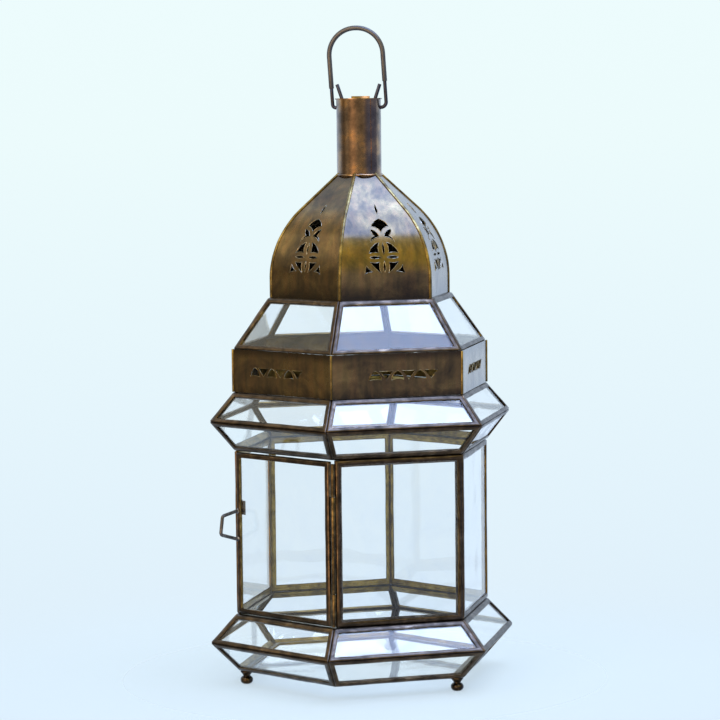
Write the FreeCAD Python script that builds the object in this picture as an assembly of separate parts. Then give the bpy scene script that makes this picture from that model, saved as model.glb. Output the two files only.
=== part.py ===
import FreeCAD, Part
import math
import os

# Hexagonal hanging lantern of brass and clear glass, in millimetres.
# +Z is up and the origin is on the lantern's axis, on the plane under its feet.
# The door is on the -Y face.  Faces are counted from it towards +X, 60 degrees apart,
# and a corner takes the number of the face before it.

SIDES = 6
HALF_FACE = math.radians(180.0 / SIDES)

# Corner radii and heights of the bands, from the feet to the dome.
foot_height = 10.0
base_corner = 99.5
lower_flare_corner = 121.8
body_corner = 100.8
upper_flare_corner = 120.2
band_corner = 100.8
roof_top_corner = 73.0
lower_base_height = 22.6
upper_base_height = 21.4
body_height = 123.5
lower_shoulder_height = 22.5
upper_shoulder_height = 22.0
pierced_band_height = 32.2
roof_height = 37.8

# Sheet metal, glass and the brass came folded round each pane.  Behind the glass of the
# fixed upright panels the came is wider, since its corner there is lost in the mitre.
sheet = 0.8
glass_thickness = 2.0
came_wall = 0.8
came_face = 4.0
came_back = 5.5
glass_cover = 1.4
came_depth = glass_thickness + 2 * came_wall
came_middle = came_depth / 2
edge_margin = 0.4

# Dome: an upright skirt, then an arc, then a straight slope to the neck.
dome_corner = 70.6
dome_skirt = 13.0
dome_arc_radius = 76.0
dome_arc_turn = math.radians(44.5)
seam_height = 0.8
dome_seam_width = 2.6
band_seam_width = 1.8
flower_height = 31.0

# Neck.
neck_radius = 16.8
neck_height = 56.7
neck_inside_dome = 4.0
lip_width = 0.9
lip_thickness = 0.9
seam_azimuth = 75.0
lap_width = 6.0
lap_height = 0.4
tab_azimuth = 217.0
tab_width = 14.6
tab_height = 1.6

# Bail of bent wire, with a sleeve over the top of its loop.
wire_radius = 1.35
pivot_azimuth = 120.0
pivot_below_rim = 7.0
pivot_clearance = 0.06
leg_left = -19.9
leg_right = 21.5
hook_reach = 10.6
hook_tip_reach = 16.5
hook_height = 17.5
loop_height = 59.6
loop_left = -23.6
loop_right = 17.8
loop_bend = 20.2
leg_bend_left = 2.5
leg_bend_right = 4.0
hook_bend = 1.8
sleeve_radius = 1.85
sleeve_clearance = 0.05
sleeve_start_left = 14.4
sleeve_start_right = 19.6

# Door and its pin hinge on corner 0.
door_edge_gap = 0.8
door_top_gap = 1.0
door_bottom_gap = 0.4
hinge_came_gap = 2.3
hinge_door_gap = 3.9
hinge_inset = 0.8
pin_radius = 0.8
pin_clearance = 0.06
knuckle_radius = 1.7
knuckle_leaf = 0.9
door_knuckle_length = 24.0
knuckle_gap = 0.4
knuckle_drop = 1.6
knuckle_lift = 0.4
pin_end_gap = 0.3
handle_wire_radius = 1.3
handle_inset = 1.8
handle_above_middle = 5.8
handle_foot_span = 21.6
handle_bar_top = 8.4
handle_bar_bottom = -5.4
handle_reach_top = 15.8
handle_reach_bottom = 18.0
handle_bend = 2.2
stop_height = 10.6
stop_reach = 7.6
stop_gap = 0.3
stop_above_middle = 18.8

# Turned ball feet.
foot_circle = 93.5
foot_flat_radius = 1.8
ball_radius = 4.8
ball_height = 6.0
stem_radius = 2.7
stem_height = 0.6
collar_radius = 4.6
collar_thickness = 0.9

# Pierced zigzag on the band below the roof: pointed arches with wedges between them.
# It was set out by eye, so on each face its middle is a little off the face's middle.
zigzag_count = 6
zigzag_pitch = 8.6
arch_base = 10.0
wedge_base = 11.2
zigzag_rise = 6.8
zigzag_offsets = [-5.4, 4.8, 1.0, -2.0, 3.0, -1.0]

# Levels.
base_level = foot_height
lower_flare_level = base_level + lower_base_height
body_bottom = lower_flare_level + upper_base_height
body_top = body_bottom + body_height
upper_flare_level = body_top + lower_shoulder_height
band_bottom = upper_flare_level + upper_shoulder_height
band_top = band_bottom + pierced_band_height
dome_base = band_top + roof_height

base_ring = (base_corner, base_level)
lower_flare_ring = (lower_flare_corner, lower_flare_level)
body_bottom_ring = (body_corner, body_bottom)
body_top_ring = (body_corner, body_top)
upper_flare_ring = (upper_flare_corner, upper_flare_level)
band_bottom_ring = (band_corner, band_bottom)
band_top_ring = (band_corner, band_top)
roof_top_ring = (roof_top_corner, dome_base)

body_apothem = body_corner * math.cos(HALF_FACE)
body_half_width = body_corner * math.sin(HALF_FACE)
dome_apothem = dome_corner * math.cos(HALF_FACE)
far = 2 * lower_flare_corner


def save(node, shape):
    """Writes one sub-part to its STEP file."""
    shape.exportStep("parts/" + node + ".step")


def at_face(shape, face):
    """A copy turned from the door's face to another face."""
    turned = shape.copy()
    turned.rotate(FreeCAD.Vector(0, 0, 0), FreeCAD.Vector(0, 0, 1), face * 360.0 / SIDES)
    return turned


def ring_of(shape):
    """The same solid repeated on every face."""
    return Part.makeCompound([at_face(shape, face) for face in range(SIDES)])


def prism(points, direction):
    """A closed flat polygon extruded along a vector."""
    loop = Part.makePolygon(points + points[:1])
    return Part.Face(loop).extrude(direction)


def face_box(across_low, across_high, apothem_low, apothem_high, low, high):
    """A box given across the door's face, outwards from the axis and upwards."""
    corner = FreeCAD.Vector(across_low, -apothem_high, low)
    return Part.makeBox(
        across_high - across_low, apothem_high - apothem_low, high - low, corner
    )


def sector(low, high, margin=0.0):
    """The door's sixth of the lantern between two levels, less a margin on each side."""
    apex = margin / math.sin(HALF_FACE)
    reach = far - apex
    side = reach * math.tan(HALF_FACE)
    points = [
        FreeCAD.Vector(0, -apex, low + margin),
        FreeCAD.Vector(-side, -far, low + margin),
        FreeCAD.Vector(side, -far, low + margin),
    ]
    return prism(points, FreeCAD.Vector(0, 0, high - low - 2 * margin))


def sloped_panel(lower, upper, inset, outer_depth, inner_depth):
    """A flat trapezoid plate between two hexagonal rings, at a depth below their face."""
    lower_apothem = lower[0] * math.cos(HALF_FACE)
    upper_apothem = upper[0] * math.cos(HALF_FACE)
    run = upper_apothem - lower_apothem
    rise = upper[1] - lower[1]
    length = math.hypot(run, rise)
    up_slope = FreeCAD.Vector(0, -run / length, rise / length)
    outwards = FreeCAD.Vector(0, -rise / length, -run / length)
    taper = math.tan(HALF_FACE) * run / length
    start = FreeCAD.Vector(0, -lower_apothem, lower[1]) - outwards * outer_depth
    points = []
    for along in (inset, length - inset):
        half = lower_apothem * math.tan(HALF_FACE) + taper * along
        half -= inset * math.hypot(1.0, taper)
        ends = (-half, half) if not points else (half, -half)
        for across in ends:
            points.append(start + up_slope * along + FreeCAD.Vector(across, 0, 0))
    return prism(points, outwards * (outer_depth - inner_depth))


def sloped_pane(lower, upper):
    """Glass of a sloped panel, its edges hidden in the came."""
    pane = sloped_panel(
        lower, upper, came_face - glass_cover, came_wall, came_wall + glass_thickness
    )
    return pane.common(sector(lower[1], upper[1], edge_margin))


def sloped_came(lower, upper):
    """Came round a sloped panel, mitred against its neighbours on all four sides."""
    slab = sloped_panel(lower, upper, -2 * came_depth, 0.0, came_depth)
    slab = slab.common(sector(lower[1], upper[1]))
    window = sloped_panel(lower, upper, came_face, -came_depth, 2 * came_depth)
    return slab.cut(window).cut(sloped_pane(lower, upper))


def upright_pane(left, right, low, high):
    """Glass of an upright panel between two edges across the face."""
    inset = came_face - glass_cover
    outer = body_apothem - came_wall
    inner = outer - glass_thickness
    return face_box(left + inset, right - inset, inner, outer, low + inset, high - inset)


def upright_window(left, right, low, high, inset, apothem_low, apothem_high):
    """What is cut from an upright came in front of its glass or behind it."""
    return face_box(
        left + inset, right - inset, apothem_low, apothem_high, low + inset, high - inset
    )


def upright_came(left, right, low, high, back_width, margin=0.0):
    """Came round an upright panel, cut to the corner planes less a margin."""
    inner = body_apothem - came_depth
    slab = face_box(left, right, inner, body_apothem, low, high)
    slab = slab.common(sector(low - margin, high + margin, margin))
    middle = body_apothem - came_middle
    outer = body_apothem + came_depth
    front = upright_window(left, right, low, high, came_face, middle, outer)
    back = upright_window(left, right, low, high, back_width, inner - came_depth, middle)
    return slab.cut(front).cut(back).cut(upright_pane(left, right, low, high))


def arc_outline(corners, bows):
    """A closed wire in the elevation plane: each corner joins the next through a bow
    point, or straight where the bow is None."""
    edges = []
    for index, corner in enumerate(corners):
        following = corners[(index + 1) % len(corners)]
        start = FreeCAD.Vector(corner[0], 0, corner[1])
        end = FreeCAD.Vector(following[0], 0, following[1])
        bow = bows[index]
        if bow is None:
            edges.append(Part.makeLine(start, end))
        else:
            middle = FreeCAD.Vector(bow[0], 0, bow[1])
            edges.append(Part.Arc(start, middle, end).toShape())
    return Part.Wire(edges)


def punch(outline, across, height):
    """A cutter through the door-side face with the given outline in elevation."""
    tool = Part.Face(outline).extrude(FreeCAD.Vector(0, -far, 0))
    tool.translate(FreeCAD.Vector(across, 0, height))
    return tool


def lens(length, width, upright):
    """A pointed eye centred on the origin."""
    half_length = length / 2
    half_width = width / 2
    if upright:
        corners = [(0, -half_length), (0, half_length)]
        bows = [(-half_width, 0), (half_width, 0)]
    else:
        corners = [(-half_length, 0), (half_length, 0)]
        bows = [(0, half_width), (0, -half_width)]
    return arc_outline(corners, bows)


def mirrored(points):
    """The same points on the other side of the face's middle line."""
    return [None if point is None else (-point[0], point[1]) for point in points]


def dome_cutters():
    """Cutters for one gore: a four-petal flower with a leafy arch and a slit over it.
    Points are across and above the flower's centre."""
    centre = dome_base + flower_height
    cutters = [
        punch(lens(7.4, 2.0, True), 0, centre + 34.5),
        punch(lens(8.6, 1.9, True), 0, centre + 6.1),
        punch(lens(8.2, 1.9, True), 0, centre - 7.0),
        punch(lens(9.2, 2.1, False), 6.7, centre),
        punch(lens(9.2, 2.1, False), -6.7, centre),
    ]
    arch_corners = [(0, 27.9), (-6.7, 22.5), (0, 18.3), (6.7, 22.5)]
    arch_bows = [(-4.2, 25.8), (-2.9, 21.3), (2.9, 21.3), (4.2, 25.8)]
    cutters.append(punch(arc_outline(arch_corners, arch_bows), 0, centre))
    side_holes = [
        # Leaf beside the arch.
        (
            [(-8.0, 20.5), (-1.8, 15.0), (-9.4, 11.0), (-5.7, 15.7)],
            [(-4.0, 18.8), (-6.0, 14.0), (-8.2, 13.9), (-7.4, 18.0)],
        ),
        # Between the upper and the side petal.
        (
            [(-2.6, 11.0), (-3.4, 3.2), (-11.7, 2.9)],
            [(-3.9, 7.2), (-7.5, 3.7), (-8.1, 8.2)],
        ),
        # Between the side and the lower petal.
        (
            [(-11.1, -3.3), (-3.5, -3.5), (-2.7, -11.5)],
            [(-7.4, -4.0), (-3.9, -7.4), (-7.1, -8.2)],
        ),
        # Lower corner.
        (
            [(-14.1, -5.6), (-8.8, -10.5), (-15.7, -11.9)],
            [(-11.8, -8.5), (-12.3, -10.7), None],
        ),
    ]
    for corners, bows in side_holes:
        cutters.append(punch(arc_outline(corners, bows), 0, centre))
        opposite = arc_outline(mirrored(corners), mirrored(bows))
        cutters.append(punch(opposite, 0, centre))
    return cutters


def dome_layer(outer_offset, inner_offset):
    """The dome's skin over the door's face, between two offsets from its outer side."""
    centre = (dome_apothem - dome_arc_radius, dome_base + dome_skirt)
    slope = (-math.sin(dome_arc_turn), math.cos(dome_arc_turn))
    arc_end = centre[0] + dome_arc_radius * math.cos(dome_arc_turn)
    slope_length = (arc_end - neck_radius / 2) / math.sin(dome_arc_turn)

    def point(offset, turn, along):
        radius = dome_arc_radius + offset
        apothem = centre[0] + radius * math.cos(turn) + along * slope[0]
        height = centre[1] + radius * math.sin(turn) + along * slope[1]
        return FreeCAD.Vector(-far / 2, -apothem, height)

    def path(offset):
        foot = FreeCAD.Vector(-far / 2, -dome_apothem - offset, dome_base)
        shoulder = point(offset, 0, 0)
        middle = point(offset, dome_arc_turn / 2, 0)
        crown = point(offset, dome_arc_turn, 0)
        tip = point(offset, dome_arc_turn, slope_length)
        edges = [
            Part.makeLine(foot, shoulder),
            Part.Arc(shoulder, middle, crown).toShape(),
            Part.makeLine(crown, tip),
        ]
        return foot, tip, edges

    outer_foot, outer_tip, outer_edges = path(outer_offset)
    inner_foot, inner_tip, inner_edges = path(inner_offset)
    ends = [Part.makeLine(outer_tip, inner_tip), Part.makeLine(inner_foot, outer_foot)]
    loop = Part.Wire(Part.__sortEdges__(outer_edges + ends + inner_edges))
    layer = Part.Face(loop).extrude(FreeCAD.Vector(far, 0, 0))
    top = dome_base + dome_apothem + far
    return layer.common(sector(dome_base, top)).cut(neck_core())


def dome_join():
    """Height at which the dome's corners meet the outside of the neck."""
    apothem = neck_radius * math.cos(HALF_FACE)
    arc_end = dome_apothem - dome_arc_radius * (1 - math.cos(dome_arc_turn))
    arc_rise = dome_arc_radius * math.sin(dome_arc_turn)
    return dome_base + dome_skirt + arc_rise + (arc_end - apothem) / math.tan(dome_arc_turn)


neck_bottom = dome_join() - neck_inside_dome
neck_top = dome_join() + neck_height
pivot_level = neck_top - pivot_below_rim


def neck_core():
    """Everything inside the neck's outer wall, over the dome's full height."""
    return Part.makeCylinder(neck_radius, far, FreeCAD.Vector(0, 0, dome_base))


def dome_gore():
    """One pierced sheet of the dome."""
    return dome_layer(0.0, -sheet).cut(Part.makeCompound(dome_cutters()))


def corner_slab(width, low, high):
    """A thin slab standing on the plane through corner 0."""
    points = [
        FreeCAD.Vector(0, -width / 2, low),
        FreeCAD.Vector(far, -width / 2, low),
        FreeCAD.Vector(far, width / 2, low),
        FreeCAD.Vector(0, width / 2, low),
    ]
    slab = prism(points, FreeCAD.Vector(0, 0, high - low))
    slab.rotate(FreeCAD.Vector(0, 0, 0), FreeCAD.Vector(0, 0, 1), -90 + 180.0 / SIDES)
    return slab


def dome_seam():
    """Solder run along one corner of the dome."""
    layer = dome_layer(seam_height, 0.0)
    both = layer.fuse(at_face(layer, 1)).removeSplitter()
    return both.common(corner_slab(dome_seam_width, dome_base, neck_top))


def zigzag_hole(number):
    """Outline of one hole of the zigzag: an arch, or the wedge that follows it."""
    half_rise = zigzag_rise / 2
    if number % 2 == 0:
        half = arch_base / 2
        corners = [(-half, -half_rise), (0, half_rise), (half, -half_rise)]
        bows = [(-half * 0.7, half_rise * 0.2), (half * 0.7, half_rise * 0.2)]
        bows.append((0, -half_rise * 0.8))
    else:
        half = wedge_base / 2
        corners = [(-half, half_rise), (0, -half_rise * 0.9), (half, half_rise)]
        bows = [(-half * 0.45, 0), (half * 0.45, 0), (0, half_rise * 0.9)]
    return arc_outline(corners, bows)


def pierced_panel(face):
    """One flat face of the pierced band."""
    apothem = band_corner * math.cos(HALF_FACE)
    plate = face_box(-far / 4, far / 4, apothem - sheet, apothem, band_bottom, band_top)
    plate = plate.common(sector(band_bottom, band_top))
    middle = (band_bottom + band_top) / 2
    for number in range(zigzag_count):
        across = (number - (zigzag_count - 1) / 2) * zigzag_pitch + zigzag_offsets[face]
        plate = plate.cut(punch(zigzag_hole(number), across, middle))
    return plate


def band_seam():
    """Solder run along one corner of the pierced band."""
    apothem = band_corner * math.cos(HALF_FACE)
    layer = face_box(-far / 4, far / 4, apothem, apothem + seam_height, band_bottom, band_top)
    layer = layer.common(sector(band_bottom, band_top))
    both = layer.fuse(at_face(layer, 1)).removeSplitter()
    return both.common(corner_slab(band_seam_width, band_bottom, band_top))


def neck_tube():
    """Rolled tube with an out-turned lip, a lapped seam and a small tab on the rim."""
    inner = neck_radius - sheet
    height = neck_top - neck_bottom
    foot = FreeCAD.Vector(0, 0, neck_bottom)
    tube = Part.makeCylinder(neck_radius, height, foot)
    lip_foot = FreeCAD.Vector(0, 0, neck_top - lip_thickness)
    tube = tube.fuse(Part.makeCylinder(neck_radius + lip_width, lip_thickness, lip_foot))
    lap_degrees = math.degrees(lap_width / neck_radius)
    lap = Part.makeCylinder(
        neck_radius + lap_height,
        neck_height - lip_thickness - dome_seam_width,
        FreeCAD.Vector(0, 0, dome_join() + dome_seam_width),
        FreeCAD.Vector(0, 0, 1),
        lap_degrees,
    )
    lap.rotate(FreeCAD.Vector(0, 0, 0), FreeCAD.Vector(0, 0, 1), seam_azimuth - 90)
    tube = tube.fuse(lap)
    tab_degrees = math.degrees(tab_width / neck_radius)
    tab = Part.makeCylinder(
        neck_radius,
        tab_height,
        FreeCAD.Vector(0, 0, neck_top),
        FreeCAD.Vector(0, 0, 1),
        tab_degrees,
    )
    tab_turn = tab_azimuth - 90 - tab_degrees / 2
    tab.rotate(FreeCAD.Vector(0, 0, 0), FreeCAD.Vector(0, 0, 1), tab_turn)
    tube = tube.fuse(tab)
    tube = tube.cut(Part.makeCylinder(inner, far, foot))
    hole = Part.makeCylinder(
        wire_radius + pivot_clearance,
        far,
        FreeCAD.Vector(-far / 2, 0, pivot_level),
        FreeCAD.Vector(1, 0, 0),
    )
    hole.rotate(FreeCAD.Vector(0, 0, 0), FreeCAD.Vector(0, 0, 1), pivot_azimuth - 90)
    return tube.cut(hole).removeSplitter()


def rounded_route(points, bends):
    """Straight runs through the points, joined by tangent arcs of the given radii."""
    edges = []
    start = points[0]
    for index, bend in enumerate(bends):
        corner = points[index + 1]
        back = (points[index] - corner).normalize()
        ahead = (points[index + 2] - corner).normalize()
        half_angle = back.getAngle(ahead) / 2
        tangent = bend / math.tan(half_angle)
        arc_start = corner + back * tangent
        arc_end = corner + ahead * tangent
        bisector = (back + ahead).normalize()
        arc_middle = corner + bisector * (bend / math.sin(half_angle) - bend)
        edges.append(Part.makeLine(start, arc_start))
        edges.append(Part.Arc(arc_start, arc_middle, arc_end).toShape())
        start = arc_end
    edges.append(Part.makeLine(start, points[-1]))
    return Part.Wire(edges)


def round_sweep(route, radius):
    """A round bar along a route."""
    first = route.Edges[0]
    start = first.valueAt(first.FirstParameter)
    direction = first.tangentAt(first.FirstParameter)
    section = Part.Wire([Part.makeCircle(radius, start, direction)])
    return route.makePipeShell([section], True, False)


def bail_point(across, above):
    """A point in the bail's plane, from the middle of its pivots."""
    return FreeCAD.Vector(across, 0, pivot_level + above)


def in_bail_plane(shape):
    """Turns a bail piece from the XZ plane to the line of the pivot holes."""
    turned = shape.copy()
    turned.rotate(FreeCAD.Vector(0, 0, 0), FreeCAD.Vector(0, 0, 1), pivot_azimuth - 90)
    return turned


def bail_wire():
    """Loop, legs, pivots and hooked ends bent from one wire."""
    points = [
        bail_point(-hook_tip_reach, hook_height),
        bail_point(-hook_reach, 0),
        bail_point(leg_left, 0),
        bail_point(loop_left, loop_height),
        bail_point(loop_right, loop_height),
        bail_point(leg_right, 0),
        bail_point(hook_reach, 0),
        bail_point(hook_tip_reach, hook_height),
    ]
    bends = [hook_bend, leg_bend_left, loop_bend, loop_bend, leg_bend_right, hook_bend]
    return in_bail_plane(round_sweep(rounded_route(points, bends), wire_radius))


def sleeve_route():
    """The part of the bail's route that the sleeve covers."""
    left_lean = (loop_left - leg_left) / loop_height
    right_lean = (loop_right - leg_right) / loop_height
    points = [
        bail_point(leg_left + left_lean * sleeve_start_left, sleeve_start_left),
        bail_point(loop_left, loop_height),
        bail_point(loop_right, loop_height),
        bail_point(leg_right + right_lean * sleeve_start_right, sleeve_start_right),
    ]
    return rounded_route(points, [loop_bend, loop_bend])


def bail_sleeve():
    """Tube slipped over the top of the bail."""
    outer = round_sweep(sleeve_route(), sleeve_radius)
    inner = round_sweep(sleeve_route(), wire_radius + sleeve_clearance)
    return in_bail_plane(outer.cut(inner))


hinge_corner = body_corner - hinge_inset
hinge_across = hinge_corner * math.sin(HALF_FACE)
hinge_apothem = hinge_corner * math.cos(HALF_FACE)
door_low = body_bottom + door_bottom_gap
door_high = body_top - door_top_gap
door_left = -body_half_width
door_right = body_half_width - hinge_door_gap
body_middle = (body_bottom + body_top) / 2


def hinge_tube(low, high, bore, came_gap):
    """A knuckle on the hinge's axis with its leaf, which reaches the door's came."""
    axis_foot = FreeCAD.Vector(hinge_across, -hinge_apothem, low)
    knuckle = Part.makeCylinder(knuckle_radius, high - low, axis_foot)
    leaf = face_box(
        body_half_width - came_gap,
        hinge_across,
        hinge_apothem - knuckle_leaf / 2,
        hinge_apothem + knuckle_leaf / 2,
        low,
        high,
    )
    hole = Part.makeCylinder(bore, high - low, axis_foot)
    return knuckle.fuse(leaf).cut(hole).removeSplitter()


def on_other_side(knuckle):
    """The same knuckle with its leaf towards the fixed came, mirrored across corner 0."""
    normal = FreeCAD.Vector(math.cos(HALF_FACE), math.sin(HALF_FACE), 0)
    return knuckle.mirror(FreeCAD.Vector(0, 0, 0), normal)


def hinge_pin():
    """Pin held in the fixed knuckle and reaching into both door knuckles."""
    low = door_low + knuckle_lift + pin_end_gap
    high = door_high - knuckle_drop - pin_end_gap
    foot = FreeCAD.Vector(hinge_across, -hinge_apothem, low)
    return Part.makeCylinder(pin_radius, high - low, foot)


def door_handle():
    """Bent wire pull on the door's free edge."""
    across = door_left + door_edge_gap + handle_inset
    middle = body_middle + handle_above_middle
    face = -body_apothem
    points = [
        FreeCAD.Vector(across, face, middle + handle_foot_span / 2),
        FreeCAD.Vector(across, face - handle_reach_top, middle + handle_bar_top),
        FreeCAD.Vector(across, face - handle_reach_bottom, middle + handle_bar_bottom),
        FreeCAD.Vector(across, face, middle - handle_foot_span / 2),
    ]
    # The ends run on past the came's face and are trimmed flush with it.
    first_step = (points[0] - points[1]).normalize() * came_depth
    last_step = (points[3] - points[2]).normalize() * came_depth
    points[0] = points[0] + first_step
    points[3] = points[3] + last_step
    handle = round_sweep(rounded_route(points, [handle_bend, handle_bend]), handle_wire_radius)
    return handle.cut(face_box(-far, far, 0, body_apothem, 0, far))


def door_stop():
    """Bent tab on the jamb that stops the door's free edge from passing inwards."""
    middle = body_middle + stop_above_middle
    low = middle - stop_height / 2
    high = middle + stop_height / 2
    door_side = body_apothem - came_depth - stop_gap
    jamb_side = body_apothem - came_depth
    inner = jamb_side - stop_gap - sheet
    behind_door = face_box(
        -body_half_width, -body_half_width + stop_reach, inner, door_side, low, high
    )
    behind_door = behind_door.common(sector(low, high))
    on_jamb = face_box(
        body_half_width - stop_reach, body_half_width, inner, jamb_side, low, high
    )
    on_jamb = at_face(on_jamb.common(sector(low, high)), -1)
    return behind_door.fuse(on_jamb).removeSplitter()


def floor_apothem():
    """Where the inner side of the lowest cames meets the base level."""
    run = (lower_flare_corner - base_corner) * math.cos(HALF_FACE)
    slope_length = math.hypot(run, lower_base_height)
    return base_corner * math.cos(HALF_FACE) - came_depth * slope_length / lower_base_height


def hexagon_plate(apothem, low, high):
    """An upright hexagonal prism with flats towards +Y and -Y."""
    corner = apothem / math.cos(HALF_FACE)
    points = []
    for side in range(SIDES):
        turn = 2 * HALF_FACE * side
        points.append(FreeCAD.Vector(corner * math.cos(turn), corner * math.sin(turn), low))
    return prism(points, FreeCAD.Vector(0, 0, high - low))


def floor_pane():
    """Glass floor."""
    apothem = floor_apothem() - came_face + glass_cover
    low = base_level + came_wall
    return hexagon_plate(apothem, low, low + glass_thickness)


def floor_came():
    """One side of the came that carries the glass floor."""
    outer = floor_apothem()
    top = base_level + came_depth
    strip = face_box(-far / 4, far / 4, outer - came_face, outer, base_level, top)
    strip = strip.common(sector(base_level, top))
    return strip.cut(floor_pane())


def ball_foot(number):
    """Turned foot under every other corner: a flattened ball, a stem and a flared collar."""
    def point(radius, height):
        return FreeCAD.Vector(radius, 0, height)

    stem_top = ball_height + stem_height
    flat_edge = point(foot_flat_radius, 0)
    ball_top = point(stem_radius, ball_height)
    bulge = Part.Arc(flat_edge, point(ball_radius, ball_height / 2), ball_top).toShape()
    upper_points = [
        ball_top,
        point(stem_radius, stem_top),
        point(collar_radius, foot_height - collar_thickness),
        point(collar_radius, foot_height),
        point(0, foot_height),
        point(0, 0),
        flat_edge,
    ]
    outline = Part.Wire([bulge] + Part.makePolygon(upper_points).Edges)
    foot = Part.Face(outline).revolve(FreeCAD.Vector(0, 0, 0), FreeCAD.Vector(0, 0, 1), 360)
    foot.translate(FreeCAD.Vector(0, -foot_circle, 0))
    turn = -180.0 / SIDES + number * 120.0
    foot.rotate(FreeCAD.Vector(0, 0, 0), FreeCAD.Vector(0, 0, 1), turn)
    return foot


def build_crown():
    """Bail, neck and dome."""
    save("bail_wire", bail_wire())
    save("bail_sleeve", bail_sleeve())
    save("neck_tube", neck_tube())
    gore = dome_gore()
    seam = dome_seam()
    for face in range(SIDES):
        save("dome_gore_" + str(face), at_face(gore, face))
        save("dome_seam_" + str(face), at_face(seam, face))


def build_bands():
    """Sloped glass bands and the pierced band, each with a piece on every face."""
    bands = [
        ("roof", band_top_ring, roof_top_ring),
        ("upper_shoulder", upper_flare_ring, band_bottom_ring),
        ("lower_shoulder", body_top_ring, upper_flare_ring),
        ("upper_base", lower_flare_ring, body_bottom_ring),
        ("lower_base", base_ring, lower_flare_ring),
    ]
    for name, lower, upper in bands:
        save(name + "_cames", ring_of(sloped_came(lower, upper)))
        save(name + "_panes", ring_of(sloped_pane(lower, upper)))
    for face in range(SIDES):
        save("pierced_panel_" + str(face), at_face(pierced_panel(face), face))
    save("pierced_band_seams", ring_of(band_seam()))


def build_body():
    """Fixed upright panels on faces 1 to 5.  Face 1 leaves room for the hinge."""
    for face in range(1, SIDES):
        left = -body_half_width + (hinge_came_gap if face == 1 else 0.0)
        right = body_half_width
        came = upright_came(left, right, body_bottom, body_top, came_back)
        pane = upright_pane(left, right, body_bottom, body_top)
        save("side_came_" + str(face), at_face(came, face))
        save("side_pane_" + str(face), at_face(pane, face))
    save("door_stop", door_stop())


def build_door():
    """Door, handle and hinge."""
    left = door_left + door_edge_gap
    came = upright_came(left, door_right, door_low, door_high, came_face, door_edge_gap)
    save("door_came", came)
    save("door_pane", upright_pane(left, door_right, door_low, door_high))
    save("door_handle", door_handle())
    bore = pin_radius + pin_clearance
    top = door_high - knuckle_drop
    foot = door_low + knuckle_lift
    top_foot = top - door_knuckle_length
    foot_top = foot + door_knuckle_length
    save("door_knuckle_top", hinge_tube(top_foot, top, bore, hinge_door_gap))
    save("door_knuckle_bottom", hinge_tube(foot, foot_top, bore, hinge_door_gap))
    fixed_low = foot_top + knuckle_gap
    fixed_high = top_foot - knuckle_gap
    fixed = hinge_tube(fixed_low, fixed_high, pin_radius, hinge_came_gap)
    save("fixed_knuckle", on_other_side(fixed))
    save("hinge_pin", hinge_pin())


def build_floor():
    """Glass floor, its came and the feet."""
    save("floor_pane", floor_pane())
    save("floor_cames", ring_of(floor_came()))
    for number in range(3):
        save("ball_foot_" + str(number), ball_foot(number))


os.makedirs("parts", exist_ok=True)
build_crown()
build_bands()
build_body()
build_door()
build_floor()
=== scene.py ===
import math

import bpy
from mathutils import Matrix, Vector, noise


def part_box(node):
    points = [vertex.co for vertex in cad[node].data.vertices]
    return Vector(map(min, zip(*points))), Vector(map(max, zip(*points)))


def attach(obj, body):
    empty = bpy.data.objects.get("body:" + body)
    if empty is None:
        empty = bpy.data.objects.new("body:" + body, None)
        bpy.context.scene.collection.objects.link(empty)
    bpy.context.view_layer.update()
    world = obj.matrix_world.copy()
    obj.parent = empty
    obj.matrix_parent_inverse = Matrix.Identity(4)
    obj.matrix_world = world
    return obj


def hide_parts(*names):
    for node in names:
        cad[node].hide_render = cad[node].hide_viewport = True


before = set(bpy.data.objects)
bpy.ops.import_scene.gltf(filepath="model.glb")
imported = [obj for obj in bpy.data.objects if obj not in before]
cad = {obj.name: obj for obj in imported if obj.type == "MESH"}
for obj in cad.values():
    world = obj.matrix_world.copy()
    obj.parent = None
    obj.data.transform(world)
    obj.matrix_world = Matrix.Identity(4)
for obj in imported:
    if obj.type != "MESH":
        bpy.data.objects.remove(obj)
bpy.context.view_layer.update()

# Without a seed the noise starts from the clock, and the dents differ each run.
noise.seed_set(1)

# Hexagonal hanging lantern of antiqued brass and clear glass, in metres, +Z up.
# The door faces -Y.  Faces are counted from it towards +X, 60 degrees apart.

MM = 0.001
SIXTH = math.radians(60)
DOME_ARC = 76.0
DOME_TURN = math.radians(44.5)
DOME_SKIRT = 13.0
CAME_FACE = 4.0 * MM
CAME_BACK = 5.5 * MM
CAME_DEPTH = 3.6 * MM
BACK_LIP = 0.75 * MM
OUTER_ROUND = 1.8 * MM
INNER_ROUND = 1.0 * MM
LIP_ROUND = 0.35 * MM
LONG_EDGE = 14 * MM
NARROW_FACE = 9.6 * MM * MM
JOINT_REACH = 0.016
RIM_LIP = 0.9 * MM
SOLDER_ROUND = 0.28 * MM


# ------------------------------------------------------------------ working on a mesh


def put_down():
    """Leaves nothing selected, so that an operator acts only on the piece in hand."""
    if bpy.context.object and bpy.context.object.mode != "OBJECT":
        bpy.ops.object.mode_set(mode="OBJECT")
    bpy.ops.object.select_all(action="DESELECT")


def take(piece):
    """Makes a piece the only one selected."""
    put_down()
    piece.select_set(True)
    bpy.context.view_layer.objects.active = piece


def pick(piece, kind, test):
    """Goes into edit mode with just the corners, edges or faces selected that pass a test."""
    take(piece)
    bpy.ops.object.mode_set(mode="EDIT")
    bpy.ops.mesh.select_mode(type=kind)
    bpy.ops.mesh.select_all(action="DESELECT")
    bpy.ops.object.mode_set(mode="OBJECT")
    parts = {"VERT": piece.data.vertices, "EDGE": piece.data.edges, "FACE": piece.data.polygons}
    for part in parts[kind]:
        part.select = bool(test(part))
    bpy.ops.object.mode_set(mode="EDIT")


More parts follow.
